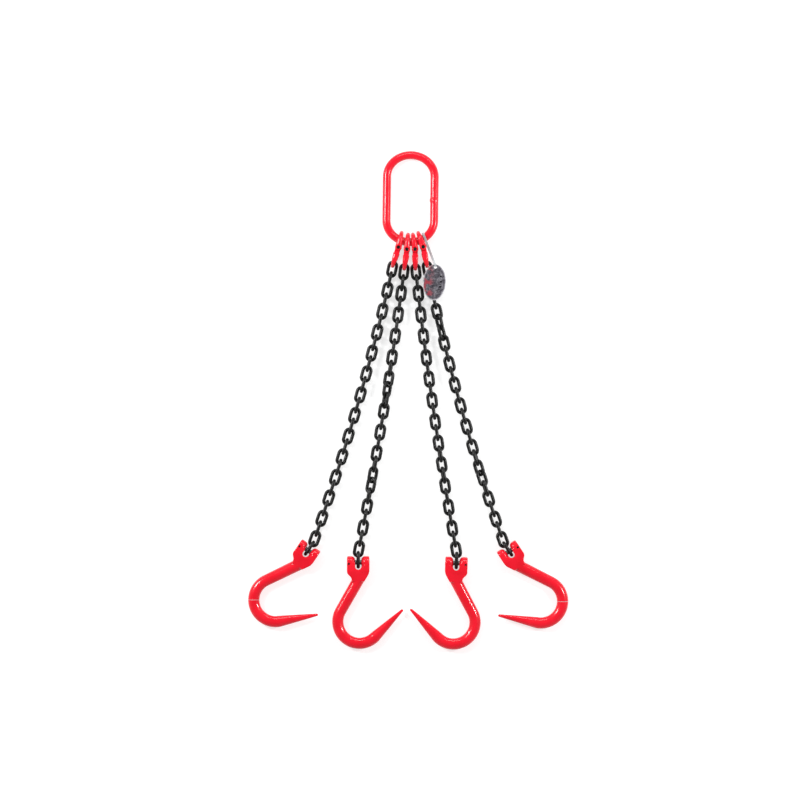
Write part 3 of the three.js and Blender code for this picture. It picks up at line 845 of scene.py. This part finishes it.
# Tag and its band
def tag_frame():
    """The tag's place: leaning to the right and pitched up at its head."""
    lean = Matrix.Rotation(math.radians(-TAG["lean"]), 4, "Z")
    pitch = Matrix.Rotation(math.radians(TAG["pitch"]), 4, "X")
    return Matrix.Translation((TAG["x"], TAG["y"], TAG["z"])) @ lean @ pitch


def oval(inset, z):
    outline = arc(0, 0, TAG["width"] / 2 - inset, TAG["length"] / 2 - inset, 0, 360, 96)[:-1]
    return [Vector((x, y, z)) for x, y in outline]


def slab(x, y, width, height, foot):
    """A flat block standing on a level of the tag."""
    half_width, half_height, depth = width / 2, height / 2, SLAB_DEPTH
    corners = [(-half_width, -half_height), (half_width, -half_height), (half_width, half_height)]
    corners.append((-half_width, half_height))
    return moved(prism(corners, depth), Matrix.Translation((x, y, foot + depth / 2)))


def tag():
    """An oval plate with a raised rim, a tie hole and rows of plain stamped marks."""
    half = TAG["thick"] / 2
    sunk = 0.5  # how far the face and back lie inside the rim
    face, back = half - sunk, sunk - half
    ob = scratch(rings([oval(1.5, face), oval(0.6, face), oval(0.4, 0), oval(0.6, back), oval(1.5, back)]))
    tools = [rod(EYE["radius"], 20, "z", 40, (0, EYE["y"], 0))]
    for row in range(9):
        length = 15 - 2.5 * (row % 3)
        tools.append(slab(-3.5 + 1.2 * (row % 2), 15 - 4.4 * row, length, 0.9, face - 0.25))
    for column in range(3):
        tools.append(slab(-10 + 6 * column, -2, 0.7, 34, face - 0.2))
    cutters = [scratch(tool) for tool in tools]
    drilled(ob, cutters)
    plate = evaluated(ob, "tag_face")
    for spare in [ob, *cutters]:
        bpy.data.objects.remove(spare)
    # Near black squares laid just proud of the face: painted shade that stands for the shade in deep
    # stamped marks
    stamp_shade_foot = face + 0.05 - SLAB_DEPTH
    marks = [slab(x, y, 3.4, 3.4, stamp_shade_foot) for x, y in [(11.5, 12), (12.5, 2), (11.5, -8)]]
    marks += [slab(x, y, 4.4, 1.0, stamp_shade_foot) for x, y in [(10.5, 7), (11, -3), (9.5, -13.5)]]
    over = [(1.7, 0.1), (1.2, 0), (0.5, 0.05), (0.05, 0.5)]
    bead = [(1.9, face - 0.3), *[(inset, half - below) for inset, below in over], (0, 0)]
    under = [(0.1, 0.4), (0.5, 0.1), (1.2, 0), (1.7, 0.1), (1.9, 0.4)]
    bead += [(inset, back + above) for inset, above in under]
    rim = rings([oval(inset, z) for inset, z in bead], closed=True)
    place = tag_frame()
    # The face wears the shaded copy of the alloy: painted shade
    piece("tag_face", plate, "tag_plate", "tag_alloy", SHADED_FACE_ALLOY, "tag_plate", matrix=place)
    # The squares wear the near black copy: painted shade of stamped marks
    piece("tag_stamp_shades", mesh_of("tag_stamp_shades", joined(marks)), "tag_plate", "tag_alloy", STAMP_SHADE_ALLOY, matrix=place)
    # The rim wears the lit copy of the alloy: painted highlight
    piece("tag_rim", mesh_of("tag_rim", rim), "tag_plate", "tag_alloy", LIT_RIM_ALLOY, matrix=place)


def band():
    """A flat band round the master link's bar and through the tag's hole."""
    bar = bar_point(BAND["seat"])
    tie = tag_frame() @ Vector((TIE["x"], TIE["y"], 0))
    way = tie - bar
    reach = way.length
    lean = math.degrees(math.asin((BAND["near"] - BAND["far"]) / reach))
    near = arc(0, 0, 1, 1, 90 - lean, 270 + lean, 24)
    far = arc(0, 0, 1, 1, -90 + lean, 90 - lean, 16)
    route = [(0, BAND["near"], n) for n in near] + [(reach, BAND["far"], n) for n in far]
    half, thick, edge = BAND["width"] / 2, BAND["thick"], 0.35
    section = [(0, -half + edge), (0, half - edge), (edge, half), (thick - edge, half)]
    section += [(thick, half - edge), (thick, -half + edge), (thick - edge, -half), (edge, -half)]
    skew = math.atan2(way.x, -way.y) + math.radians(TAG["lean"])
    along = way.normalized()
    across = Vector((along.y, -along.x, 0)).normalized()
    up = across.cross(along)
    loops = []
    for start, radius, (ahead, above) in route:
        ring = []
        for depth, side in section:
            far_along = start + (radius - depth) * ahead
            turn = skew * min(1.0, max(0.0, far_along / reach))
            far_along -= side * math.sin(turn)
            height = (radius - depth) * above
            ring.append(bar + along * far_along + up * height + across * side * math.cos(turn))
        loops.append(ring)
    mesh = mesh_of("tag_strap", rings(loops, closed=True))
    piece("tag_strap", mesh, "tag_band", "tag_alloy", PALE, "tag_band")


# The room
def light(name, power, size, at, aim):
    lamp = bpy.data.lights.new(name, "AREA")
    lamp.shape = "RECTANGLE"
    lamp.size, lamp.size_y = size
    lamp.energy = power
    ob = bpy.data.objects.new(name, lamp)
    bpy.context.scene.collection.objects.link(ob)
    ob.location = at
    ob.rotation_euler = (Vector(aim) - Vector(at)).to_track_quat("-Z", "Y").to_euler()


def studio():
    reach = FLOOR["reach"]
    corners = [(-reach, -reach), (reach, -reach), (reach, reach), (-reach, reach)]
    floor = scratch(prism(corners, FLOOR["depth"]))
    floor.name = "floor"
    floor.location.z = -(FLOOR["depth"] / 2 + FLOOR["gap"]) * MM
    floor.data.materials.append(floor_finish())
    world = bpy.data.worlds.new("studio")
    world.use_nodes = True
    sky(world.node_tree)
    bpy.context.scene.world = world
    for lamp in LAMPS:
        light(**lamp)
    bpy.context.scene.view_settings.view_transform = "Standard"


def sky(tree):
    """White all round, falling off overhead like a studio with its lights at the sides."""
    place = tree.nodes.new("ShaderNodeTexCoord")
    split = tree.nodes.new("ShaderNodeSeparateXYZ")
    tree.links.new(place.outputs["Generated"], split.inputs["Vector"])
    tint = ramp_node(tree, split.outputs["Z"], [(0.0, gray(0.8)), (0.5, gray(0.7)), (0.85, gray(0.34))])
    background = tree.nodes["Background"]
    tree.links.new(tint, background.inputs["Color"])
    background.inputs["Strength"].default_value = 0.72


def camera():
    """Straight above, far enough away to see the sling almost without perspective."""
    eye = bpy.data.cameras.new("camera")
    eye.lens = CAMERA["lens"]
    eye.sensor_width = CAMERA["sensor"]
    eye.clip_end = 100
    ob = bpy.data.objects.new("camera", eye)
    bpy.context.scene.collection.objects.link(ob)
    middle = Vector((CAMERA["x"], CAMERA["y"], 0)) + ORIGIN
    distance = CAMERA["span"] * CAMERA["lens"] / CAMERA["sensor"]
    ob.location = (middle.x * MM, middle.y * MM, distance + BED * MM)
    ob.rotation_euler.z = math.radians(CAMERA["roll"])
    bpy.context.scene.camera = ob


master_link()
couplers()
chain()
hooks()
tag()
band()
studio()
camera()
